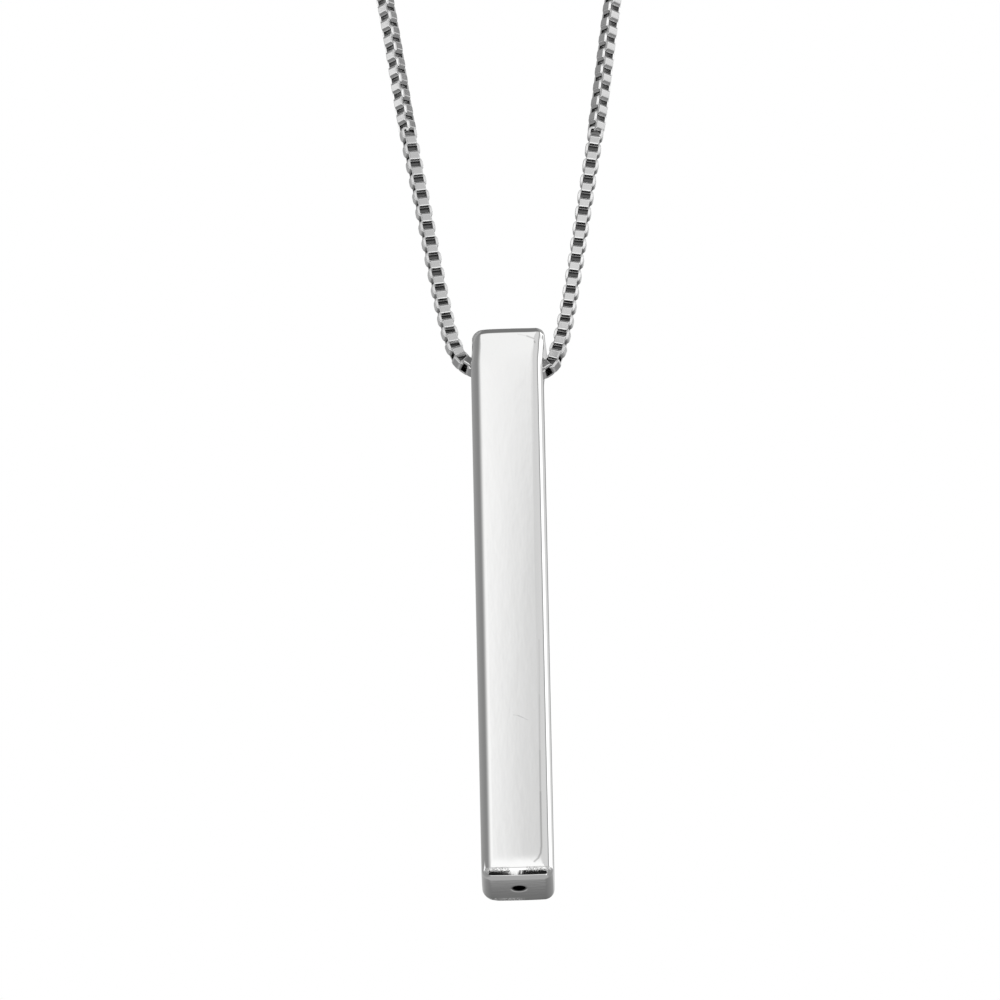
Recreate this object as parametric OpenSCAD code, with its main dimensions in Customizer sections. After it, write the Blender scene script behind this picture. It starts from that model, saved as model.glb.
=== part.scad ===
// Square bar pendant threaded on a fine box chain, held as it hangs round a neck.
// Millimetres, +Z up, the wearer faces -Y. The origin is on the nape, where the clasp lies on the neck.

/* [Bar] */
// Width and depth of the square bar
bar_w = 5; // [4:0.1:7]
// Length of the bar from end to end
bar_len = 40; // [25:1:60]
// Radius on the long edges and round both ends
bar_edge_r = 0.65; // [0.3:0.05:0.9]
// Thickness of the bar's walls and of its end caps
bar_wall = 0.5; // [0.3:0.05:0.8]

/* [Chain hole] */
// Diameter of the hole across the bar, which the chain runs through
hole_d = 2; // [1.8:0.1:2.4]
// Distance from the bar's top end down to the centre of that hole
hole_drop = 2.3; // [2:0.1:6]

/* [Vent hole] */
// Diameter of the vent hole in the bottom cap
vent_d = 0.85; // [0.4:0.05:1.2]
// Width of the dished rim round the vent hole
vent_rim = 0.18; // [0.05:0.01:0.3]
// Depth of that rim
vent_dish = 0.12; // [0.05:0.01:0.2]
// How far the vent hole was drilled off the bar's centre line
vent_off = 0.1; // [0:0.05:0.3]

/* [Chain] */
// Width across the box chain
chain_d = 1; // [0.8:0.05:1.1]
// Faces round the chain's solid
chain_sides = 8; // [8:1:12]
// Longest stretch of chain between two rings of corners of its solid
chain_reach = 12.5; // [8:0.5:16]

/* [Hang] */
// Width of the loop where it lies round the neck
neck_w = 104; // [90:2:120]
// How far the chain hole hangs in front of the nape
hang_front = 122; // [110:1:140]
// How far the chain hole hangs below the nape
hang_down = 207; // [150:1:300]

/* [Clasp] */
// Outer diameter of the round clasp
clasp_d = 6; // [5:0.5:8]
// Thickness of the clasp's round bar
clasp_wire = 1; // [0.8:0.1:1.2]
// Outer diameter of the small eye on the clasp's side
eye_d = 2; // [1.8:0.1:2.6]
// Thickness of the eye's wire
eye_wire = 0.5; // [0.4:0.05:0.6]

/* [Jump rings] */
// Outer diameter of the two jump rings at the chain's ends
ring_d = 2.8; // [2.8:0.1:4]
// Thickness of their wire
ring_wire = 0.5; // [0.4:0.05:0.6]
// How far the rings lean from the plane square to the clasp
ring_lean = 20; // [0:5:25]
// Gap between a ring's wire and the clasp or the eye that it hangs in, and from ring to chain
ring_gap = 0.1; // [0.1:0.05:0.2]

/* [Hidden] */
fine = 64;
over = 1;

// The chain's route on the wearer's left, chosen by hand, from the middle of the bar to the nape.
// Inside the bar: [share of the bar's half width, share of the play above the hole's centre]
in_hole = [[0, -0.7], [0.32, -0.65], [0.66, -0.3], [1, 0.4]];
// The strand above the bar: [out from the bar's side, up from the hole's centre]
strand = [
    [0.57, 0.72], [0.91, 1.45], [1.2, 2.35], [1.6, 4.1], [2.15, 7.2], [2.95, 12.2], [4.05, 19], [5.3, 28]
];
// Up the chest and round the neck: [share of half of neck_w, share of hang_front, share of hang_down],
// counted out from the bar's middle, and back and up from the hole's centre
round_neck = [
    [0.205, 0.005, 0.22], [0.285, 0.025, 0.32], [0.39, 0.07, 0.425], [0.53, 0.145, 0.535],
    [0.68, 0.245, 0.64], [0.815, 0.355, 0.735], [0.92, 0.47, 0.815], [0.985, 0.585, 0.875],
    [0.985, 0.695, 0.92], [0.905, 0.795, 0.955], [0.765, 0.88, 0.975], [0.575, 0.945, 0.99],
    [0.355, 0.985, 1]
];
hole_at = [0, -hang_front, -hang_down];
play = (hole_d - chain_d) / 2;

// Along X, from the centre of the clasp: its eye, and the ring at each side
clasp_mid_r = (clasp_d - clasp_wire) / 2;
eye_mid_r = (eye_d - eye_wire) / 2;
ring_mid_r = (ring_d - ring_wire) / 2;
ring_inside = ring_wire / 2 + ring_gap;
eye_offset = clasp_d / 2 + eye_mid_r;
eye_ring_offset = eye_offset + eye_mid_r - eye_wire / 2 - ring_inside + ring_mid_r;
end_ring_offset = clasp_mid_r - clasp_wire / 2 - ring_inside + ring_mid_r;
// The clasp sits beside the nape's middle, so that the chain ends as far from it on both sides
chain_end = (eye_ring_offset + end_ring_offset + ring_d) / 2 + ring_gap;
clasp_x = chain_end - ring_gap - ring_d / 2 - end_ring_offset;
clasp_y = clasp_wire / 2;

half_loop = concat(
    [for (p = in_hole) hole_at + [p[0] * bar_w / 2, 0, p[1] * play]],
    [for (p = strand) hole_at + [bar_w / 2 + p[0], 0, p[1]]],
    [for (p = round_neck) hole_at + [p[0] * neck_w / 2, p[1] * hang_front, p[2] * hang_down]],
    [[chain_end, clasp_y, 0]]
);
loop = concat(
    [for (i = [len(half_loop) - 1 : -1 : 1]) [-half_loop[i][0], half_loop[i][1], half_loop[i][2]]],
    half_loop
);
loop_end = len(loop) - 1;

// A smooth curve through the loop's points: u counts them, so that a whole number is a point of its own
function loop_point(i) =
    i < 0 ? 2 * loop[0] - loop[1]
    : i > loop_end ? 2 * loop[loop_end] - loop[loop_end - 1]
    : loop[i];
function on_curve(u) =
    let (
        i = min(floor(u), loop_end - 1),
        t = u - i,
        a = loop_point(i - 1),
        b = loop_point(i),
        c = loop_point(i + 1),
        d = loop_point(i + 2)
    )
    (2 * b + (c - a) * t + (2 * a - 5 * b + 4 * c - d) * t * t + (3 * b - a - 3 * c + d) * t * t * t) / 2;

function unit(v) = v / norm(v);

// Normal of the tilted plane that the whole necklace lies near: no stretch of the chain runs along it
loop_normal = unit([0, hang_down, -hang_front]);

// The ring of corners round the chain at u, square to its direction there
function chain_ring(u) =
    let (
        near = 0.01,
        ahead = unit(on_curve(u + near) - on_curve(u - near)),
        side = unit(cross(ahead, loop_normal)),
        up = cross(side, ahead)
    )
    [for (k = [0 : chain_sides - 1])
        let (turn = 360 * k / chain_sides)
        on_curve(u) + chain_d / 2 * (cos(turn) * side + sin(turn) * up)];

module rounded_rectangle(w, h, r) {
    square([w - 2 * r, h], center = true);
    square([w, h - 2 * r], center = true);
    for (x = [-1, 1], y = [-1, 1])
        translate([x * (w / 2 - r), y * (h / 2 - r)]) circle(r = r, $fn = fine);
}

// A square bar along Z with one radius on all its edges: the part that three rounded prisms share
module soft_bar(w, h, r) {
    intersection() {
        linear_extrude(height = h + over, center = true) rounded_rectangle(w, w, r);
        rotate([90, 0, 0]) linear_extrude(height = w + over, center = true) rounded_rectangle(w, h, r);
        rotate([90, 0, 90]) linear_extrude(height = w + over, center = true) rounded_rectangle(w, h, r);
    }
}

// Closed square tube of polished silver: the chain hole crosses both side walls near the top,
// and the bottom cap has the vent hole that a hollow bar needs when its caps are soldered on
module bar() {
    inside_w = bar_w - 2 * bar_wall;
    color("silver")
    translate(hole_at + [0, 0, hole_drop - bar_len / 2])
    difference() {
        soft_bar(bar_w, bar_len, bar_edge_r);
        cube([inside_w, inside_w, bar_len - 2 * bar_wall], center = true);
        translate([0, 0, bar_len / 2 - hole_drop])
            rotate([0, 90, 0]) cylinder(d = hole_d, h = bar_w + over, center = true, $fn = fine);
        translate([vent_off, 0, -bar_len / 2]) {
            cylinder(d = vent_d, h = 2 * bar_wall + over, center = true, $fn = fine);
            cylinder(d1 = vent_d + 2 * vent_rim, d2 = vent_d, h = vent_dish, $fn = fine);
        }
    }
}

// The box chain as one swept solid of its own width
module chain() {
    stops = [
        for (i = [0 : loop_end - 1])
            let (steps = ceil(norm(loop[i + 1] - loop[i]) / chain_reach))
            for (k = [0 : steps - 1]) i + k / steps,
        loop_end
    ];
    count = len(stops);
    color("silver")
    polyhedron(
        points = [for (u = stops) each chain_ring(u)],
        faces = concat(
            [[for (k = [0 : chain_sides - 1]) k]],
            [for (i = [0 : count - 2], k = [0 : chain_sides - 1])
                let (next = (k + 1) % chain_sides, low = i * chain_sides, high = low + chain_sides)
                [low + k, high + k, high + next, low + next]],
            [[for (k = [chain_sides - 1 : -1 : 0]) (count - 1) * chain_sides + k]]
        ),
        convexity = 10
    );
}

module round_ring(outer_d, wire) {
    rotate_extrude($fn = fine)
        translate([(outer_d - wire) / 2, 0]) circle(d = wire, $fn = fine);
}

// Round clasp with its eye soldered to its side, both flat against the nape
module clasp() {
    color("silver")
    translate([clasp_x, clasp_y, 0]) rotate([90, 0, 0]) {
        round_ring(clasp_d, clasp_wire);
        translate([-eye_offset, 0, 0]) round_ring(eye_d, eye_wire);
    }
}

module jump_ring(offset_x) {
    color("silver")
    translate([clasp_x + offset_x, clasp_y, 0]) rotate([ring_lean, 0, 0]) round_ring(ring_d, ring_wire);
}

// Joins one end of the chain to the clasp's eye
module eye_ring() {
    jump_ring(-eye_ring_offset);
}

// Hangs in the closed clasp and holds the chain's other end
module end_ring() {
    jump_ring(end_ring_offset);
}

bar();
chain();
clasp();
eye_ring();
end_ring();
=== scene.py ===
# Silver bar pendant on a fine box chain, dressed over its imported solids. Metres, +Z up, the wearer faces -Y.
import math

import bpy
import numpy as np
from mathutils import Matrix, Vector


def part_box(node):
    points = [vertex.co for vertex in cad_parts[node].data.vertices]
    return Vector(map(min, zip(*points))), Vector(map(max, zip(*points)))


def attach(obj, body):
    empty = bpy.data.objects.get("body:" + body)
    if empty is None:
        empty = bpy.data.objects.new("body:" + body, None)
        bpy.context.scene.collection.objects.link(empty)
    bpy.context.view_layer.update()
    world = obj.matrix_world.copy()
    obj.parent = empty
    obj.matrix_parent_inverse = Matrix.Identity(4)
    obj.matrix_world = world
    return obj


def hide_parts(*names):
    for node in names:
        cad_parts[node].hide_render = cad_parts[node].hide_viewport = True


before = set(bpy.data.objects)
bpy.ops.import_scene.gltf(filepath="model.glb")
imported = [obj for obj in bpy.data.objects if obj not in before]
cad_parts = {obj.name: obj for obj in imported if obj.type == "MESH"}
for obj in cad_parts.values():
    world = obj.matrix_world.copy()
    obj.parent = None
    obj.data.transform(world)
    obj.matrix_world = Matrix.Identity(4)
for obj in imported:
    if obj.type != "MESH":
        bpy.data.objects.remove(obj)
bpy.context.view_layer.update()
MM = 0.001

# The bar: a square tube of sterling silver with a cap soldered on each end, drilled across for the chain
# and through the bottom cap for the solder's gases. Buffing by hand leaves its faces slightly domed
# and rounds every edge.
bar_low, bar_high = (np.array(corner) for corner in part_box("bar"))
bar_middle = (bar_low + bar_high) / 2
BAR_BUFFED = 0.085 * MM
bar_half = (bar_high - bar_low) / 2 - [BAR_BUFFED, BAR_BUFFED, 0]
BAR_EDGE_R = 0.65 * MM
BAR_WALL = 0.5 * MM
CHAIN_HOLE_R = 1 * MM
CHAIN_HOLE_RIM = 0.08 * MM
CHAIN_HOLE_DROP = 2.3 * MM
DRILL_CLEAR = 0.5 * MM
VENT_R = 0.425 * MM
VENT_RIM = 0.18 * MM
VENT_DISH = 0.05 * MM
VENT_OFF = (0.06 * MM, -0.21 * MM)

# How far the mop has drawn in the corners, in mm at the bottom and the top end of each long edge: first the
# edges at -X, front and back, then those at +X
BAR_CORNER_OFF = [
    [[0.02, 0.07], [0.14, 0.06]],
    [[0.0, -0.03], [0.02, -0.07]],
]
BAR_CORNER_REACH = 1.15 * MM
# Shares of the bar's half width or half length: the dome of its faces, what they lose at the ends, the dome
# of the caps, and the bow of the front face and what it loses at its ends
BAR_CROWN = 0.008
BAR_END_CROWN = 0.0015
BAR_CAP_CROWN = 0.0018
BAR_BOW = 0.012
BAR_END_DROP = 0.015
BAR_TWIST = math.radians(0.3)
# The top leans towards +X between two heights above the bar's middle, and its side flares there, which
# starts higher up at the front
BAR_TOP_FROM = (17.2 * MM, 18.9 * MM)
BAR_TOP_FRONT = (18.6 * MM, 20.4 * MM)
BAR_TOP_LEAN = 0.1 * MM
BAR_TOP_FLARE = 0.18 * MM

# The silver, and the lines and haze that the mop leaves in it
SILVER = (0.93, 0.93, 0.925, 1)
LINE_DRAWN = 16.0
HAZE_FINENESS = 0.6
HAZE_FROM = (0.42, 0.68)
HAZE_ROUGHER = 1.5

# What use and the mop leave on the bar, then the painted shade and dark lines laid on its silver
WAVES, WAVES_DRAWN = 0.7, 3
WAVE_HEIGHT = 0.003 * MM
CAP_LINES, CAP_LINES_DRAWN = 4, 4
CAP_LINE_HEIGHT = 0.004 * MM
CAP_FACING = (-0.9, -0.99)
SPECK_EDGE = (0.45, 0.6)
EDGE_DENTS = [
    # low corner, high corner from the bar's middle in mm, specks to a mm, height in mm, how rough they are
    ((-2.2, -2.6, -19.68), (-0.5, -1.9, -19.3), 10, 0.016, 0),
    ((0.6, -2.6, -19.68), (2.3, -1.9, -19.3), 10, 0.016, 0),
    ((-2.3, 1.4, -20.1), (0.4, 2.1, -19.6), 6, 0.03, 0.8),
]
# Painted shade round the vent hole: how far out from its middle it reaches, and the grey that it and the dark
# lines below are painted
VENT_DARK = 0.55 * MM
PAINTED_DARK_GREY = (0.12, 0.12, 0.12, 1)
# Thin lines painted dark on the front face: the long one down the +X side, in the first four rows, is a painted
# dark reflection; the others are darkened the same way
DARK_LINES = [
    # bends as (x, z) from the bar's middle in mm, width in mm, how dark
    ([(1.78, -3), (1.72, -7)], 0.08, 0.12),
    ([(1.72, -7), (1.67, -11)], 0.09, 0.2),
    ([(1.67, -11), (1.65, -14)], 0.1, 0.32),
    ([(1.65, -14), (1.64, -17.9), (1.58, -18.4), (1.42, -18.75), (1.15, -19)], 0.11, 0.46),
    ([(0.8, 19.35), (1.4, 19.2)], 0.06, 0.15),
    ([(1.4, 19.2), (1.85, 19)], 0.09, 0.4),
    ([(1.9, 18.8), (1.93, 18.7)], 0.09, 0.4),
    ([(-0.05, -8.4), (0.25, -8.45)], 0.06, 0.12),
    ([(0.25, -8.45), (0.6, -8.62)], 0.07, 0.26),
    ([(0.6, -8.62), (0.9, -8.8)], 0.06, 0.14),
]

# How fine the surfaces are: points this near are one point, and the numbers of columns and rows of points
SAME_PLACE = 0.0005 * MM
SIDE_COLUMNS, CORNER_COLUMNS = 21, 12
EDGE_ROWS, CAP_ROWS, VENT_ROWS, VENT_BORE_ROWS = 14, 15, 8, 6
SIDE_ROWS = (20, 60, 12)
WALL_ROWS = 40
RIM_STEPS, DRILL_SIDES = 8, 96
SHARP_ANGLE = math.radians(40)


def grid_quads(rows, columns, wrap_rows=False):
    """Corner numbers of the quads between neighbouring points of a grid. Its columns close into a ring,
    and its rows too if wrap_rows is set."""
    index = np.arange(rows * columns).reshape(rows, columns)
    index = np.concatenate([index, index[:, :1]], axis=1)
    if wrap_rows:
        index = np.concatenate([index, index[:1]], axis=0)
    corners = [index[:-1, :-1], index[:-1, 1:], index[1:, 1:], index[1:, :-1]]
    return np.stack(corners, axis=-1).reshape(-1, 4)


def smooth_mesh(name, points, quads):
    """A mesh of arrays. Points in one place become one point, so a folded quad becomes a triangle or goes,
    which closes the poles."""
    places, first, same = np.unique(
        np.round(points / SAME_PLACE), axis=0, return_index=True, return_inverse=True)
    corners = same.reshape(-1)[quads]
    kept = corners != np.roll(corners, -1, axis=1)
    real = kept.sum(axis=1) > 2
    corners, kept = corners[real], kept[real]
    sides = kept.sum(axis=1)
    starts = np.concatenate([[0], np.cumsum(sides)[:-1]])
    mesh = bpy.data.meshes.new(name)
    mesh.vertices.add(len(places))
    mesh.vertices.foreach_set("co", points[first].astype(np.float32).ravel())
    mesh.loops.add(int(sides.sum()))
    mesh.loops.foreach_set("vertex_index", corners[kept].astype(np.int32))
    mesh.polygons.add(len(sides))
    mesh.polygons.foreach_set("loop_start", starts.astype(np.int32))
    mesh.update(calc_edges=True)
    mesh.shade_smooth()
    return mesh


def new_piece(name, mesh):
    """A piece at the origin: its place is in its mesh."""
    piece = bpy.data.objects.new(name, mesh)
    bpy.context.scene.collection.objects.link(piece)
    return piece


def eased(share):
    """A smooth way from 0 to 1: three times the square less twice the cube."""
    return share**2 * (3 - 2 * share)


def square_outline(side_steps, corner_steps):
    """Columns round a square with round corners: for each, a place on the core square and the way out from
    it, which stays the side's own along a side and turns evenly through a quarter circle at a corner."""
    along = np.linspace(-1, 1, side_steps)
    turn = np.linspace(0, np.pi / 2, corner_steps + 2)[1:-1]
    core = np.concatenate([np.stack([np.ones(side_steps), along], 1), np.ones((corner_steps, 2))])
    out = np.concatenate([np.tile([1.0, 0.0], (side_steps, 1)), np.stack([np.cos(turn), np.sin(turn)], 1)])
    quarter_turns = [np.array([[c, -s], [s, c]]) for c, s in [(1, 0), (0, 1), (-1, 0), (0, -1)]]
    return tuple(np.concatenate([part @ turn.T for turn in quarter_turns]) for part in (core, out))


def bar_rows():
    """Rows from the top cap's middle out, down the outside, in over the bottom cap, up through the vent hole,
    and over the inside to its top. A row holds the core square's half side, the corner radius, the share that
    has become a circle, that circle's radius, and the height."""
    half, length = bar_half[0], bar_half[2]
    core, rim = half - BAR_EDGE_R, VENT_R + VENT_RIM
    inside, ceiling = half - BAR_WALL, length - BAR_WALL
    turn = np.linspace(np.pi / 2, 0, EDGE_ROWS)
    share, vent_share = np.linspace(0, 1, CAP_ROWS), np.linspace(0, 1, VENT_ROWS)
    below_hole = length - CHAIN_HOLE_DROP - 2 * CHAIN_HOLE_R
    above_end = -length + 4 * BAR_EDGE_R
    sides = np.concatenate([
        np.linspace(length - BAR_EDGE_R, below_hole, SIDE_ROWS[0])[1:],
        np.linspace(below_hole, above_end, SIDE_ROWS[1])[1:],
        np.linspace(above_end, -length + BAR_EDGE_R, SIDE_ROWS[2])[1:-1],
    ])
    walls = np.linspace(-ceiling, ceiling, WALL_ROWS)[1:-1]
    edge_r, edge_z = BAR_EDGE_R * np.cos(turn), length - BAR_EDGE_R + BAR_EDGE_R * np.sin(turn)

    def rows(*columns):
        return np.stack(np.broadcast_arrays(*columns), axis=-1).astype(float)

    return np.concatenate([
        rows(core * share, 0, 0, rim, length),
        rows(core, edge_r, 0, rim, edge_z)[1:],
        rows(core, BAR_EDGE_R, 0, rim, sides),
        rows(core, edge_r, 0, rim, -edge_z)[::-1],
        rows(core, 0, share, rim, -length)[1:],
        rows(core, 0, 1, rim - VENT_RIM * vent_share, -length + VENT_DISH * vent_share**2)[1:],
        rows(core, 0, 1, VENT_R, np.linspace(-length + VENT_DISH, -ceiling, VENT_BORE_ROWS)[1:]),
        rows(inside, 0, 1 - vent_share, VENT_R, -ceiling)[1:],
        rows(inside, 0, 0, VENT_R, walls),
        rows(inside * (1 - vent_share), 0, 0, VENT_R, ceiling),
    ])


def bar_skin():
    """Each row is the outline blended towards a circle round the vent hole. The eight corners are then drawn
    in, the more the nearer a point is to all three faces. Shares x, y and z of the half sides then scale each
    coordinate: x by 1 less the crown times y squared, y by 1 less the crown times x squared, both less the
    end crown times the tenth power of z, and on the front y also less the bow times z squared and the drop
    times its 24th power. The caps rise by their crown times 1 less the squares of x and y. Last, the bar is
    twisted in proportion to z, and its top is moved and flared towards +X."""
    core, out = square_outline(SIDE_COLUMNS, CORNER_COLUMNS)
    rows = bar_rows()
    half_side, corner_r, share, circle_r, z = (rows[:, k, None, None] for k in range(5))
    square = half_side * core + corner_r * out
    edge = (bar_half[0] - BAR_EDGE_R) * core + BAR_EDGE_R * out
    circle = circle_r * edge / np.linalg.norm(edge, axis=-1, keepdims=True) + VENT_OFF
    flat = (1 - share) * square + share * circle
    points = np.concatenate([flat, np.broadcast_to(z, flat.shape[:2] + (1,))], axis=-1)

    near = np.clip((abs(points) - bar_half) / BAR_CORNER_REACH + 1, 0, 1)
    right, back, top = np.moveaxis((points > 0).astype(int), -1, 0)
    off = np.array(BAR_CORNER_OFF)[right, back, top] * MM
    points -= np.sign(points) * (off * np.prod(eased(near), axis=-1))[..., None]

    x, y, z = np.moveaxis(points / bar_half, -1, 0)
    ends = BAR_END_CROWN * z**10
    bow = (BAR_BOW * z**2 + BAR_END_DROP * z**24) * (y < 0)
    cap = BAR_CAP_CROWN * (1 - x**2 - y**2)
    points *= np.stack([1 - BAR_CROWN * y**2 - ends, 1 - BAR_CROWN * x**2 - ends - bow, 1 + cap], axis=-1)
    turned = np.stack([points[..., 1], -points[..., 0], np.zeros(z.shape)], axis=-1)
    points += z[..., None] * BAR_TWIST * turned

    whole, front = (eased(np.clip((points[..., 2] - low) / (high - low), 0, 1))
                    for low, high in (BAR_TOP_FROM, BAR_TOP_FRONT))
    flared = 1 - (1 - y) / 2 * (1 - front)
    points[..., 0] += (BAR_TOP_LEAN + BAR_TOP_FLARE * np.clip(x, 0, 1) * flared) * whole
    return smooth_mesh("bar_skin", (points + bar_middle).reshape(-1, 3), grid_quads(*points.shape[:2]))


def chain_drill():
    """The drill with its countersinks, turned about X: its radius is the hole's own inside the walls and
    flares in a quarter circle to the rim at each outer face. It ends clear of the bar."""
    reach, rim = bar_half[0] * (1 - BAR_CROWN), CHAIN_HOLE_RIM
    flare = np.linspace(0, np.pi / 2, RIM_STEPS)
    x = np.concatenate([reach - rim + rim * np.sin(flare), [reach + DRILL_CLEAR, reach + DRILL_CLEAR]])
    r = np.concatenate([CHAIN_HOLE_R + rim * (1 - np.cos(flare)), [CHAIN_HOLE_R + rim, 0]])
    x, r = np.concatenate([-x[::-1], x])[:, None], np.concatenate([r[::-1], r])[:, None]
    turn = np.linspace(0, 2 * np.pi, DRILL_SIDES, endpoint=False)
    points = np.stack(np.broadcast_arrays(x, r * np.cos(turn), r * np.sin(turn)), axis=-1)
    points = points + bar_middle + [0, 0, bar_half[2] - CHAIN_HOLE_DROP]
    return smooth_mesh("chain_drill", points.reshape(-1, 3), grid_quads(*points.shape[:2])[:, ::-1])


bar = new_piece("bar_polished", bar_skin())
drill = new_piece("chain_drill", chain_drill())
cut = bar.modifiers.new("chain hole", "BOOLEAN")
cut.operation = "DIFFERENCE"
cut.object = drill
cut.solver = "EXACT"
depsgraph = bpy.context.evaluated_depsgraph_get()
drilled = bpy.data.meshes.new_from_object(bar.evaluated_get(depsgraph))
bar.modifiers.clear()
bar.data = drilled
bpy.data.objects.remove(drill)
drilled.set_sharp_from_angle(angle=SHARP_ANGLE)


def add(tree, kind, sockets=None, **settings):
    """A shader node with its settings, and a value or another node's output for each of its named sockets."""
    made = tree.nodes.new(kind)
    for name, value in settings.items():
        setattr(made, name, value)
    for name, value in (sockets or {}).items():
        if isinstance(value, bpy.types.NodeSocket):
            tree.links.new(value, made.inputs[name])
        else:
            made.inputs[name].default_value = value
    return made


def number_node(tree, operation, *values, **settings):
    """A Math node on values or other nodes' outputs."""
    return add(tree, "ShaderNodeMath", dict(enumerate(values)), operation=operation, **settings).outputs[0]


def vector_node(tree, operation, *values, out="Vector"):
    """A Vector Math node on vectors or other nodes' outputs."""
    return add(tree, "ShaderNodeVectorMath", dict(enumerate(values)), operation=operation).outputs[out]


def scaled(tree, vector, by):
    """A vector times a number."""
    return add(tree, "ShaderNodeVectorMath", {0: vector, "Scale": by}, operation="SCALE").outputs[0]


def smooth_step(tree, value, low, high):
    """0 at low, 1 at high, and a smooth way between them."""
    return add(tree, "ShaderNodeMapRange", {"Value": value, "From Min": low, "From Max": high},
               interpolation_type="SMOOTHSTEP").outputs[0]


def colour_ramp(tree, share, colours):
    """A colour for each share, straight between those that are given with their places."""
    ramp = add(tree, "ShaderNodeValToRGB", {"Fac": share})
    stops = ramp.color_ramp.elements
    while len(stops) < len(colours):
        stops.new(1)
    for stop, (place, colour) in zip(stops, colours):
        stop.position = place
        stop.color = colour
    return ramp.outputs["Color"]


def relief(tree, height, distance, **sockets):
    """A bump as high as distance, over the Normal if one is given."""
    return add(tree, "ShaderNodeBump", {
        "Height": height, "Distance": distance, "Strength": 1, **sockets,
    }).outputs[0]


def new_group(name, inputs, outputs):
    """A shader node group: its named inputs with their default values, or None for a vector, and its named
    outputs."""
    tree = bpy.data.node_groups.new(name, "ShaderNodeTree")
    for title, value in inputs.items():
        kind = "NodeSocketVector" if value is None else "NodeSocketFloat"
        socket = tree.interface.new_socket(title, in_out="INPUT", socket_type=kind)
        if value is not None:
            socket.default_value = value
    for title in outputs:
        tree.interface.new_socket(title, in_out="OUTPUT", socket_type="NodeSocketFloat")
    return tree, tree.nodes.new("NodeGroupInput").outputs, tree.nodes.new("NodeGroupOutput").inputs


def polishing_lines():
    """Hairlines that a buffing mop leaves along Z: noise drawn out long that way. Fineness is in lines to a
    millimetre, and Drawn is how many times longer a line is than it is wide. Height is for a bump, and Haze
    says where the lines lie close."""
    tree, inside, out = new_group(
        "polishing_lines", {"Vector": None, "Fineness": 4.0, "Drawn": LINE_DRAWN}, ["Height", "Haze"])
    along = number_node(tree, "DIVIDE", 1 / MM, inside["Drawn"])
    scale = add(tree, "ShaderNodeCombineXYZ", {0: 1 / MM, 1: 1 / MM, 2: along}).outputs[0]
    stretched = add(tree, "ShaderNodeMapping", {"Vector": inside["Vector"], "Scale": scale}).outputs[0]
    lines = add(tree, "ShaderNodeTexNoise", {
        "Vector": stretched, "W": 0, "Scale": inside["Fineness"], "Detail": 3, "Roughness": 0.7,
    }, noise_dimensions="4D").outputs[0]
    broad = add(tree, "ShaderNodeTexNoise", {
        "Vector": stretched, "W": 0, "Scale": HAZE_FINENESS, "Detail": 2,
    }, noise_dimensions="4D").outputs[0]
    tree.links.new(lines, out["Height"])
    tree.links.new(smooth_step(tree, broad, *HAZE_FROM), out["Haze"])
    return tree


POLISHING_LINES = polishing_lines()


def silver_material(name, roughness, fineness, line_height, drawn=LINE_DRAWN):
    """Polished silver: metal with the mop's lines as its relief, and rougher where they lie close."""
    material = bpy.data.materials.new(name)
    material.use_nodes = True
    tree = material.node_tree
    shader = tree.nodes["Principled BSDF"].inputs
    place = add(tree, "ShaderNodeTexCoord").outputs["Object"]
    lines = add(tree, "ShaderNodeGroup", {"Vector": place, "Fineness": fineness, "Drawn": drawn},
                node_tree=POLISHING_LINES).outputs
    gloss = add(tree, "ShaderNodeMapRange", {
        "Value": lines["Haze"], "To Min": roughness, "To Max": roughness * HAZE_ROUGHER,
    }).outputs[0]
    shader["Base Color"].default_value = SILVER
    shader["Metallic"].default_value = 1
    tree.links.new(gloss, shader["Roughness"])
    tree.links.new(relief(tree, lines["Height"], line_height), shader["Normal"])
    return material


def dress(piece, material):
    """Gives a piece this material alone."""
    piece.data.materials.clear()
    piece.data.materials.append(material)


def worn_patch():
    """A mask of broken specks, kept inside a soft box: 1 in the middle of a speck and 0 between them.
    Low and High are the box's corners, and Size is in specks to a millimetre."""
    tree, inside, out = new_group(
        "worn_patch", {"Vector": None, "Low": None, "High": None, "Soft": 0.1 * MM, "Size": 3.0}, ["Mask"])
    in_mm = scaled(tree, inside["Vector"], 1 / MM)
    noise = add(tree, "ShaderNodeTexNoise", {
        "Vector": in_mm, "Scale": inside["Size"], "Detail": 2, "Roughness": 0.6,
    }).outputs[0]
    mask = smooth_step(tree, noise, *SPECK_EDGE)
    for low, high in [("Low", "Vector"), ("Vector", "High")]:
        gap = vector_node(tree, "SUBTRACT", inside[high], inside[low])
        for axis in add(tree, "ShaderNodeSeparateXYZ", {0: gap}).outputs:
            mask = number_node(tree, "MULTIPLY", mask, smooth_step(tree, axis, 0, inside["Soft"]))
    tree.links.new(mask, out["Mask"])
    return tree


def hairline():
    """A mask round the straight line from Start to End as seen along Y, on the front half alone: 1 on the
    line and 0 at Width from it. Its nearest point lies as far along it as the dot product of the way there
    and the line, over the line's with itself."""
    tree, inside, out = new_group(
        "hairline", {"Vector": None, "Start": None, "End": None, "Width": 0.1 * MM}, ["Mask"])
    along = vector_node(tree, "SUBTRACT", inside["End"], inside["Start"])
    away = vector_node(tree, "SUBTRACT", inside["Vector"], inside["Start"])
    in_front = number_node(tree, "LESS_THAN", add(tree, "ShaderNodeSeparateXYZ", {0: away}).outputs["Y"], 0)
    away = vector_node(tree, "MULTIPLY", away, (1, 0, 1))
    past, whole = (vector_node(tree, "DOT_PRODUCT", way, along, out="Value") for way in (away, along))
    nearest = scaled(tree, along, number_node(tree, "DIVIDE", past, whole, use_clamp=True))
    off = vector_node(tree, "DISTANCE", away, nearest, out="Value")
    mask = number_node(tree, "MULTIPLY", smooth_step(tree, off, inside["Width"], 0), in_front)
    tree.links.new(mask, out["Mask"])
    return tree


WORN_PATCH = worn_patch()
HAIRLINE = hairline()


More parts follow.
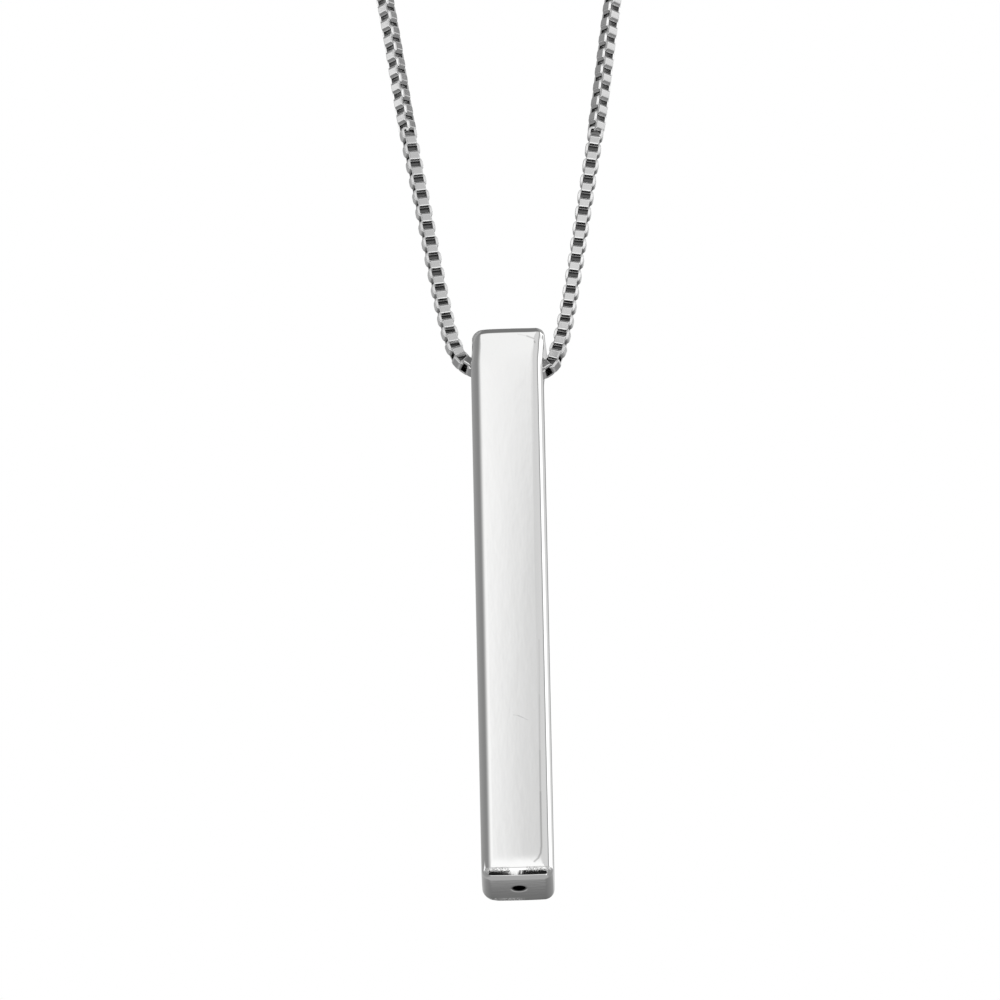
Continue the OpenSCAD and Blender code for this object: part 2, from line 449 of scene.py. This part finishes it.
def wear_bar(material):
    """Lays over the polish what use and the mop leave: slightly wavy faces, dents in specks along the lower
    front and back edges, which are rougher where they are deep, and lines across the bottom cap."""
    tree = material.node_tree
    shader = tree.nodes["Principled BSDF"].inputs
    place = add(tree, "ShaderNodeTexCoord").outputs["Object"]
    normal, rough = (shader[name].links[0].from_socket for name in ("Normal", "Roughness"))
    waves = add(tree, "ShaderNodeGroup", {"Vector": place, "Fineness": WAVES, "Drawn": WAVES_DRAWN},
                node_tree=POLISHING_LINES)
    normal = relief(tree, waves.outputs["Height"], WAVE_HEIGHT, Normal=normal)
    for low, high, size, height, frosted in EDGE_DENTS:
        low, high = (tuple(bar_middle + np.array(corner) * MM) for corner in (low, high))
        specks = add(tree, "ShaderNodeGroup", {"Vector": place, "Low": low, "High": high, "Size": size},
                     node_tree=WORN_PATCH).outputs["Mask"]
        normal = relief(tree, specks, height * MM, Normal=normal)
        rough = number_node(tree, "MAXIMUM", rough, number_node(tree, "MULTIPLY", specks, frosted))
    facing = add(tree, "ShaderNodeSeparateXYZ", {0: add(tree, "ShaderNodeNewGeometry").outputs["Normal"]})
    on_cap = smooth_step(tree, facing.outputs["Z"], *CAP_FACING)
    across = add(tree, "ShaderNodeMapping", {"Vector": place, "Rotation": (0, math.pi / 2, 0)}).outputs[0]
    lines = add(tree, "ShaderNodeGroup", {"Vector": across, "Fineness": CAP_LINES, "Drawn": CAP_LINES_DRAWN},
                node_tree=POLISHING_LINES)
    normal = relief(tree, lines.outputs["Height"], CAP_LINE_HEIGHT, Strength=on_cap, Normal=normal)
    tree.links.new(rough, shader["Roughness"])
    tree.links.new(normal, shader["Normal"])


def darken_bar(material):
    """Darkens the silver with painted shade round the vent hole and along a few thin dark lines, the long one
    near the +X edge a painted dark reflection: its share of silver is the least of 1 less each mark's mask
    times its darkness."""
    tree = material.node_tree
    place = add(tree, "ShaderNodeTexCoord").outputs["Object"]
    vent = tuple(bar_middle + [*VENT_OFF, -bar_half[2]])
    away = vector_node(tree, "DISTANCE", place, vent, out="Value")
    silver_share = smooth_step(tree, away, VENT_DARK - VENT_RIM / 2, VENT_DARK)
    for bends, width, dark in DARK_LINES:
        bends = [tuple(bar_middle + np.array([x, 0, z]) * MM) for x, z in bends]
        for start, end in zip(bends, bends[1:]):
            line = add(tree, "ShaderNodeGroup", {
                "Vector": place, "Start": start, "End": end, "Width": width * MM,
            }, node_tree=HAIRLINE).outputs["Mask"]
            silver_share = number_node(tree, "MINIMUM", silver_share, number_node(tree, "MULTIPLY_ADD", line, -dark, 1))
    colour = colour_ramp(tree, silver_share, [(0, PAINTED_DARK_GREY), (1, SILVER)])
    tree.links.new(colour, tree.nodes["Principled BSDF"].inputs["Base Color"])


bar_silver = silver_material("polished bar silver", roughness=0.035, fineness=3.0, line_height=0.00006 * MM)
wear_bar(bar_silver)
# Painted shade round the vent hole and painted dark lines on the front face
darken_bar(bar_silver)
dress(bar, bar_silver)
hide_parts("bar")
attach(bar, "pendant")

# The chain: a fine box chain. Each link is a flat silver strip bent into a square loop and soldered, and
# holds the next one at a right angle. It runs through the bar and round the neck, where an oval loop of wire
# holds each of its ends to a jump ring.
NECK_W = 104 * MM
HANG_FRONT = 122 * MM
HANG_DOWN = 207 * MM
CHAIN_ENDS = 5.425 * MM
CLASP_Y = 0.5 * MM
CHAIN_W = 1.06 * MM
CHAIN_PLAY = 0.5 * MM
# The route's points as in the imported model: inside the bar as shares of its half width and of the play in the
# hole, above it in mm out from its side and up from the hole, and round the neck as shares of the three sizes
IN_HOLE = [[0, -0.7], [0.32, -0.65], [0.66, -0.3], [1, 0.4]]
STRAND = [
    [0.57, 0.72], [0.91, 1.45], [1.2, 2.35], [1.6, 4.1], [2.15, 7.2], [2.95, 12.2], [4.05, 19], [5.3, 28],
]
ROUND_NECK = [
    [0.205, 0.005, 0.22], [0.285, 0.025, 0.32], [0.39, 0.07, 0.425], [0.53, 0.145, 0.535],
    [0.68, 0.245, 0.64], [0.815, 0.355, 0.735], [0.92, 0.47, 0.815], [0.985, 0.585, 0.875],
    [0.985, 0.695, 0.92], [0.905, 0.795, 0.955], [0.765, 0.88, 0.975], [0.575, 0.945, 0.99],
    [0.355, 0.985, 1],
]
ROUTE_STEPS = 200
# In mm: out from the bar's side, and how much lower the chain hangs there at +X, and higher at -X
CHAIN_TILT = [[-2.5, 0], [0, 0.17], [0.6, 0.15], [1.3, 0]]
# Number of links from the middle, and mm along the route: the links lie closer together near the bar
LINK_PLACES = [[0, 0], [8, 4.43], [16, 8.72], [36, 20.45]]
LINK_PITCH = 0.5865 * MM
CHAIN_SLIP = -0.215 * MM
# Mm along the route from the bar's side, and the chain's twist in degrees, or how much painted shade darkens
# the ends of its plates
CHAIN_ROLL = [[0, 2], [5, 3], [14, 6], [18.1, 9], [18.5, 44], [60, 45], [120, 20], [300, 0]]
NEAR_BAR_SHADE = [[18.1, 1], [18.5, 0.05]]

STRIP_T = 0.185 * MM
STRIP_W = 0.7 * MM
STRIP_CHAMFER = (0.04 * MM, 0.06 * MM)
STRIP_SIDES = 6
LINK_CORNER_R = 0.31 * MM
LINK_LONG = LINK_PITCH + 2 * STRIP_T
BEND_TURNS = np.radians([0, 30, 60, 90])
# Painted shade on a link's outside, its chamfers and its bent edges: 0 is none, 1 is the darkest
PLATE_SHADE = 0.15
CHAMFER_SHADE = 0.35
BEND_SHADE = 0.62
# The grey painted for each share of painted shade, from the bare edges to the darkest insides
LINK_SHADE_GREYS = [(0, 0.98), (0.15, 0.7), (0.35, 0.96), (0.5, 0.8), (0.65, 0.45), (1, 0.4)]
END_LOOP_ROOM = 0.665 * MM
LOOP_X = 5.31 * MM
LOOP_LONG = 1.28 * MM
LOOP_WIDE = 0.86 * MM
LOOP_WIRE = 0.25 * MM
LOOP_STEPS, LOOP_SIDES = 48, 12
RING_LEAN = math.radians(20)


def between(where, table):
    """Straight between the rows of a table whose first column is in mm."""
    places, values = np.array(table).T
    return np.interp(where, places * MM, values)


def chain_route():
    """The route's points as listed: the half on the wearer's left, at +X, and its mirror image before
    it. Where it leaves the bar, it hangs lower on that side than on the other."""
    hole = np.array([0, -HANG_FRONT, -HANG_DOWN])
    in_hole = hole + np.array([[x * bar_high[0], 0, z * CHAIN_PLAY] for x, z in IN_HOLE])
    strand = hole + np.array([[bar_high[0] + x * MM, 0, z * MM] for x, z in STRAND])
    neck = hole + np.array(ROUND_NECK) * [NECK_W / 2, HANG_FRONT, HANG_DOWN]
    half = np.concatenate([in_hole, strand, neck, [[CHAIN_ENDS, CLASP_Y, 0]]])
    route = np.concatenate([half[:0:-1] * [-1, 1, 1], half])
    route[:, 2] -= np.sign(route[:, 0]) * between(abs(route[:, 0]) - bar_high[0], CHAIN_TILT) * MM
    return route


def smooth_route(points):
    """A curve through the points: between two of them it is the cubic whose slope at each is half the way
    between that point's neighbours. Returns even samples of it and the length up to each."""
    ends = [2 * points[:1] - points[1:2], points, 2 * points[-1:] - points[-2:-1]]
    a, b, c, d = (np.concatenate(ends)[k:len(points) + k - 1, None] for k in range(4))
    t = np.linspace(0, 1, ROUTE_STEPS, endpoint=False)[:, None]
    cubic = (2 * b + (c - a) * t + (2 * a - 5 * b + 4 * c - d) * t**2 + (3 * b - a - 3 * c + d) * t**3) / 2
    samples = np.concatenate([cubic.reshape(-1, 3), points[-1:]])
    length = np.concatenate([[0], np.cumsum(np.linalg.norm(np.diff(samples, axis=0), axis=1))])
    return samples, length


def rows_at(where, length, values):
    """The values, a row each, at the given lengths along the route."""
    return np.stack([np.interp(where, length, column) for column in values.T], axis=1)


def unit(rows):
    """Each row over its own length."""
    return rows / np.linalg.norm(rows, axis=-1, keepdims=True)


def link_shape():
    """One link: a strip's section, six-sided with its outer corners taken off, carried round a square with
    round corners. Its axes are along the chain, across the square and across the strip. Returns the points,
    and for each corner of each quad its normal, which is its section side's own turned with the strip, how
    much painted shade that side takes, and how far the outside has turned there towards the next link."""
    turn = np.concatenate([BEND_TURNS + np.pi / 2 * k for k in range(4)])
    way_out = np.stack([np.cos(turn), np.sin(turn)], axis=1)
    steps = len(BEND_TURNS)
    corner = np.sign(np.round(np.repeat(way_out[1::steps], steps, axis=0), 6))
    centre = corner * (np.array([LINK_LONG, CHAIN_W]) / 2 - LINK_CORNER_R)
    depth = np.array([0, 0, STRIP_CHAMFER[0], STRIP_T, STRIP_T, STRIP_CHAMFER[0]])
    aside = np.array([-1, 1, 1, 1, -1, -1]) * STRIP_W / 2 + np.array([1, -1, 0, 0, 0, 0]) * STRIP_CHAMFER[1]
    path = centre[:, None] + (LINK_CORNER_R - depth)[None, :, None] * way_out[:, None]
    points = np.concatenate([path, np.broadcast_to(aside[None, :, None], path.shape[:2] + (1,))], axis=-1)

    quads = grid_quads(*points.shape[:2], wrap_rows=True)
    side = np.tile(np.arange(STRIP_SIDES), len(way_out))
    out = way_out[quads // STRIP_SIDES]
    tilt = np.radians([[0] * 4, [20, 70, 70, 20], [90] * 4, [180] * 4, [270] * 4, [290, 340, 340, 290]])
    tilt = tilt[side][..., None]
    normals = np.concatenate([out * np.cos(tilt), np.sin(tilt)], axis=-1)

    # Painted shade: the bent corners darker the further they turn, the insides darkest
    bend = BEND_SHADE * abs(2 * out[..., 0] * out[..., 1])
    deep = np.array([PLATE_SHADE, CHAMFER_SHADE, 0, 1, 0, CHAMFER_SHADE])[side, None] * np.ones(4)
    deep = np.where(deep == 0, bend, deep)
    to_next = np.where(side[:, None] == 0, out[..., 0]**2, 0)
    return points.reshape(-1, 3), quads, normals, deep, to_next


def end_loop(side):
    """The oval of round wire that holds one end of the chain to its jump ring: a circle's section carried
    round two half circles and the straights between them, in a plane that leans with the ring."""
    turn = np.linspace(0, 2 * np.pi, LOOP_STEPS, endpoint=False)
    way_out = np.stack([np.cos(turn), np.zeros(LOOP_STEPS), np.sin(turn)], axis=1)
    straight = np.sign(np.round(way_out[:, :1], 6)) * [1, 0, 0] * (LOOP_LONG - LOOP_WIDE) / 2
    middle = straight + way_out * LOOP_WIDE / 2
    round_wire = np.linspace(0, 2 * np.pi, LOOP_SIDES, endpoint=False)[None, :, None]
    out = np.cos(round_wire) * way_out[:, None] + np.sin(round_wire) * [0, -1, 0]
    lean = np.array(Matrix.Rotation(RING_LEAN, 3, "X"))
    points = (middle[:, None] + LOOP_WIRE / 2 * out) @ lean.T + [side * LOOP_X, CLASP_Y, 0]
    quads = grid_quads(LOOP_STEPS, LOOP_SIDES, wrap_rows=True)
    normals = (out @ lean.T).reshape(-1, 3)[quads].reshape(-1, 3)
    return points.reshape(-1, 3), quads, normals, np.full(quads.size, PLATE_SHADE)


def link_places(length):
    """Each link's number from the middle one, how far along the route it lies from there, and its place on
    the route: evenly spaced past the table's last row, up to the end loops, and moved a little by the
    chain's slip, which fades to nothing at the ends."""
    half = length / 2
    linked, reached = np.array(LINK_PLACES).T * [[1], [MM]]
    rest = half - END_LOOP_ROOM - reached[-1]
    count = int(linked[-1] + rest / LINK_PITCH) // 2 * 2 + 1
    number = np.arange(-count, count + 1)
    from_middle = np.interp(abs(number), [*linked, count], [*reached, reached[-1] + rest])
    where = half + np.sign(number) * from_middle + CHAIN_SLIP * (1 - abs(number) / count)
    return number, from_middle, where


def chain_mesh():
    """Every link is the same shape, set at its place on the route. It lies along the route, faces the front,
    and is rolled about the route by the chain's own twist, with a quarter turn more on every second link."""
    samples, length = smooth_route(chain_route())
    number, from_middle, where = link_places(length[-1])
    ahead = unit(np.gradient(samples, length, axis=0))
    centre, along = rows_at(where, length, samples), unit(rows_at(where, length, ahead))
    loop_normal = unit(np.array([0, HANG_DOWN, -HANG_FRONT]))
    front = unit(-loop_normal + (along @ loop_normal)[:, None] * along)
    side = np.cross(along, front)
    from_bar = from_middle - bar_high[0]
    roll = -np.sign(number) * np.radians(between(from_bar, CHAIN_ROLL)) + number % 2 * np.pi / 2
    c, s = np.cos(roll)[:, None], np.sin(roll)[:, None]
    turns = np.stack([along, c * side + s * front, c * front - s * side], axis=1)

    shape, quads, normals, deep, to_next = link_shape()
    # Painted shade: near the bar, the plates darken where they turn towards the next link
    deep = deep.ravel() + (1 - PLATE_SHADE) * to_next.ravel() * between(from_bar, NEAR_BAR_SHADE)[:, None]
    links = ((shape @ turns + centre[:, None]).reshape(-1, 3),
             (quads + np.arange(len(number))[:, None, None] * len(shape)).reshape(-1, 4),
             (normals.reshape(-1, 3) @ turns).reshape(-1, 3), deep.ravel())
    points, quads, normals, deep = zip(links, end_loop(-1), end_loop(1))
    before = np.cumsum([0] + [len(part) for part in points])
    quads = np.concatenate([part + first for part, first in zip(quads, before)])
    mesh = bpy.data.meshes.new("box_links")
    mesh.from_pydata(np.concatenate(points), [], quads)
    mesh.shade_smooth()
    mesh.normals_split_custom_set(np.concatenate(normals))
    mesh.attributes.new("deep", "FLOAT", "CORNER").data.foreach_set("value", np.concatenate(deep))
    return mesh


def grey(value):
    """A plain grey as a colour."""
    return value, value, value, 1


def paint_link_shade(material):
    """Paints shade into the links' colour: a grey for each share of the deep attribute, darker deep in the
    chain.
    """
    tree = material.node_tree
    deep = add(tree, "ShaderNodeAttribute", attribute_name="deep").outputs["Fac"]
    colour = colour_ramp(tree, deep, [(place, grey(value)) for place, value in LINK_SHADE_GREYS])
    tree.links.new(colour, tree.nodes["Principled BSDF"].inputs["Base Color"])


chain = new_piece("box_links", chain_mesh())
chain_silver = silver_material("chain silver", roughness=0.14, fineness=7.0, line_height=0.004 * MM, drawn=1)
# Painted shade on the links' insides, chamfers and bent edges
paint_link_shade(chain_silver)
dress(chain, chain_silver)
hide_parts("chain")
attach(chain, "necklace")

# The clasp with the eye soldered to its side, and the two jump rings: drawn round silver wire, bent round,
# soldered shut and polished. Their solids have the right shape, so they only take the silver.
clasp_silver = silver_material("clasp silver", roughness=0.1, fineness=2.0, line_height=0.0001 * MM)
for name in ["clasp", "eye_ring", "end_ring"]:
    dress(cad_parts[name], clasp_silver)

# The studio: white all round for the camera, a plain pale floor far below, and soft light that the silver
# mirrors, brightest in front and on the right, grey above and behind, and dark straight below.
FLOOR_DROP = 4
FLOOR_HALF = 40
FLOOR_PALE = 0.85
FLOOR_MATT = 0.9
# Angle round Z from the front, towards +X, and brightness
ROUND_ABOUT = [
    (-180, 0.8), (-165, 0.8), (-150, 0.5), (-128, 0.34), (-87, 0.28), (-58, 0.25), (-40, 0.25), (-28, 0.36),
    (-16, 0.58), (-7, 0.82), (-3.5, 1.04), (-2.2, 1.01), (-1.85, 0.97), (-1.5, 0.9), (-1.2, 0.86),
    (-0.8, 0.81), (-0.3, 0.755), (0, 0.735), (0.5, 0.66), (0.8, 0.63), (2, 0.68), (40, 0.7), (55, 0.62),
    (57, 0.28), (66, 0.28), (67, 1.3), (122, 1.3), (130, 0.5), (160, 0.5), (168, 1.2), (176, 1), (180, 0.4),
]
SOFT_CAPS = [
    # angle round Z from the front, angle above level, radius, softness of the edge, brightness
    (-1, 40, 16, 0.8, 0.95),
    (-1, 12, 9, 0.4, 1.05),
    (180, 75, 53, 6, 0.19),
    (116, 51, 28, 3, 0.32),
    (-112, 52, 26, 3, 0.36),
    (-82, 5, 15, 2, 1.1),
    (106, -22, 40, 2, 0.3),
    (76, 6, 13, 2, 0.9),
    (0, -35, 49, 2, 0.5),
    (0, -35, 43, 2, 1.15),
    (180, -25, 26, 7, 0.32),
    (180, -10, 32, 12, 0.25),
    (180, -10, 14, 12, 0.13),
    (180, -62, 36, 5, 0.4),
    (150, 34, 23, 3, 0.68),
]
# The dark ground: its front, back and soft edge as angles above level, and its brightness. Then, as parts of
# a direction of length 1, how far it reaches aside, and the wedge of light that parts it: where it lies, its
# width at the back, how it widens from there, and its soft edge
NADIR_FRONT, NADIR_BACK, NADIR_SOFT = (math.radians(angle) for angle in (-20, -74, 1.5))
NADIR_LIGHT = 0.015
NADIR_SIDE, NADIR_SIDE_SOFT = 0.6, 0.05
GAP_AT = -0.0125
GAP_BACK = 0.003
GAP_SPREAD = 0.012
GAP_SOFT = 0.002

floor = new_piece("floor", bpy.data.meshes.new("floor"))
floor.data.from_pydata([
    (x * FLOOR_HALF, y * FLOOR_HALF, -FLOOR_DROP) for x, y in [(-1, -1), (1, -1), (1, 1), (-1, 1)]
], [], [(0, 1, 2, 3)])
floor.visible_glossy = False
pale = bpy.data.materials.new("pale floor")
pale.use_nodes = True
pale.node_tree.nodes["Principled BSDF"].inputs["Base Color"].default_value = grey(FLOOR_PALE)
pale.node_tree.nodes["Principled BSDF"].inputs["Roughness"].default_value = FLOOR_MATT
dress(floor, pale)


def lay_grey(tree, share, below, value):
    """Lays a plain grey over another colour by a share."""
    mixed = add(tree, "ShaderNodeMix", {0: share}, data_type="RGBA")
    colours = [socket for socket in mixed.inputs if socket.type == "RGBA"]
    tree.links.new(below, colours[0])
    colours[1].default_value = grey(value)
    return next(socket for socket in mixed.outputs if socket.type == "RGBA")


def lay_dark_ground(tree, axes, front, light):
    """The dark ground under the bar, a band seen between two angles below level, parted by a wedge of light
    in the middle that widens towards the front."""
    pitch = number_node(tree, "ARCTAN2", axes["Z"], front)
    band = number_node(tree, "MULTIPLY",
                       smooth_step(tree, pitch, NADIR_BACK - NADIR_SOFT, NADIR_BACK + NADIR_SOFT),
                       smooth_step(tree, pitch, NADIR_FRONT + NADIR_SOFT, NADIR_FRONT - NADIR_SOFT))
    near = smooth_step(tree, number_node(tree, "ABSOLUTE", axes["X"]),
                       NADIR_SIDE + NADIR_SIDE_SOFT, NADIR_SIDE - NADIR_SIDE_SOFT)
    aside = number_node(tree, "ABSOLUTE", number_node(tree, "SUBTRACT", axes["X"], GAP_AT))
    from_back = number_node(tree, "ADD", front, -math.cos(NADIR_BACK))
    width = number_node(tree, "MULTIPLY_ADD", from_back, GAP_SPREAD, GAP_BACK)
    past = smooth_step(tree, number_node(tree, "SUBTRACT", aside, width), -GAP_SOFT, GAP_SOFT)
    dark = number_node(tree, "MULTIPLY", number_node(tree, "MULTIPLY", band, near), past)
    return lay_grey(tree, dark, light, NADIR_LIGHT)


def studio_world():
    """Light from every side by its direction: a ramp by the angle round Z, then round caps laid over it, each
    with a middle, a radius and a soft edge, and the dark ground last. The camera sees plain white instead."""
    world = bpy.data.worlds.new("soft studio")
    bpy.context.scene.world = world
    world.use_nodes = True
    tree = world.node_tree
    way = add(tree, "ShaderNodeTexCoord").outputs["Generated"]
    axes = add(tree, "ShaderNodeSeparateXYZ", {0: way}).outputs
    front = number_node(tree, "MULTIPLY", axes["Y"], -1)
    around = number_node(tree, "ARCTAN2", axes["X"], front)
    share = add(tree, "ShaderNodeMapRange", {
        "Value": around, "From Min": -math.pi, "From Max": math.pi,
    }).outputs[0]
    light = colour_ramp(tree, share, [((angle + 180) / 360, grey(value)) for angle, value in ROUND_ABOUT])
    for around, above, radius, soft, value in SOFT_CAPS:
        turn, rise = math.radians(around), math.radians(above)
        pole = (math.sin(turn) * math.cos(rise), -math.cos(turn) * math.cos(rise), math.sin(rise))
        angle = number_node(tree, "ARCCOSINE", vector_node(tree, "DOT_PRODUCT", way, pole, out="Value"))
        inside = smooth_step(tree, angle, math.radians(radius + soft), math.radians(radius - soft))
        light = lay_grey(tree, inside, light, value)
    light = lay_dark_ground(tree, axes, front, light)
    mirrored = add(tree, "ShaderNodeBackground", {"Color": light}).outputs[0]
    plain = add(tree, "ShaderNodeBackground", {"Color": grey(1)}).outputs[0]
    glossy = add(tree, "ShaderNodeLightPath").outputs["Is Glossy Ray"]
    pick = add(tree, "ShaderNodeMixShader", {0: glossy, 1: plain, 2: mirrored}).outputs[0]
    tree.links.new(pick, tree.nodes["World Output"].inputs["Surface"])


studio_world()

# The camera: far off with a long lens, looking up at the bar from below and a little from its left. Its
# distance and place come from how large a millimetre is in the photograph and where the bar's middle lies.
LENS = 800
SENSOR = 36
PHOTO_SIDE = 1000
PIXELS_PER_MM = 14.95
BAR_MIDDLE_PX = (512.45, 613.2)
CAMERA_ROUND = math.radians(1)
CAMERA_ABOVE = math.radians(-23.5)
CAMERA_ROLL = math.radians(1.2)
CAMERA_CLIP = (0.1, 100)


def place_camera():
    """Backs away from the bar's middle along the line of sight until a millimetre there has its size in the
    photograph, then moves square to that line until the bar's middle falls on its pixel."""
    ahead = np.array([-math.sin(CAMERA_ROUND) * math.cos(CAMERA_ABOVE),
                      math.cos(CAMERA_ROUND) * math.cos(CAMERA_ABOVE), -math.sin(CAMERA_ABOVE)])
    level = np.array([math.cos(CAMERA_ROUND), math.sin(CAMERA_ROUND), 0])
    upright = np.cross(level, ahead)
    right = math.cos(CAMERA_ROLL) * level - math.sin(CAMERA_ROLL) * upright
    up = math.cos(CAMERA_ROLL) * upright + math.sin(CAMERA_ROLL) * level
    distance = LENS / SENSOR * PHOTO_SIDE / PIXELS_PER_MM * MM
    off_right, off_down = ((pixel - PHOTO_SIDE / 2) / PIXELS_PER_MM * MM for pixel in BAR_MIDDLE_PX)
    camera = bpy.data.objects.new("camera", bpy.data.cameras.new("camera"))
    bpy.context.scene.collection.objects.link(camera)
    camera.data.lens = LENS
    camera.data.sensor_width = SENSOR
    camera.data.clip_start, camera.data.clip_end = CAMERA_CLIP
    turn = np.eye(4)
    turn[:3, :3] = np.stack([right, up, -ahead], axis=1)
    turn[:3, 3] = bar_middle - ahead * distance - right * off_right + up * off_down
    camera.matrix_world = Matrix(turn.tolist())
    bpy.context.scene.camera = camera


place_camera()
bpy.context.scene.view_settings.view_transform = "Standard"
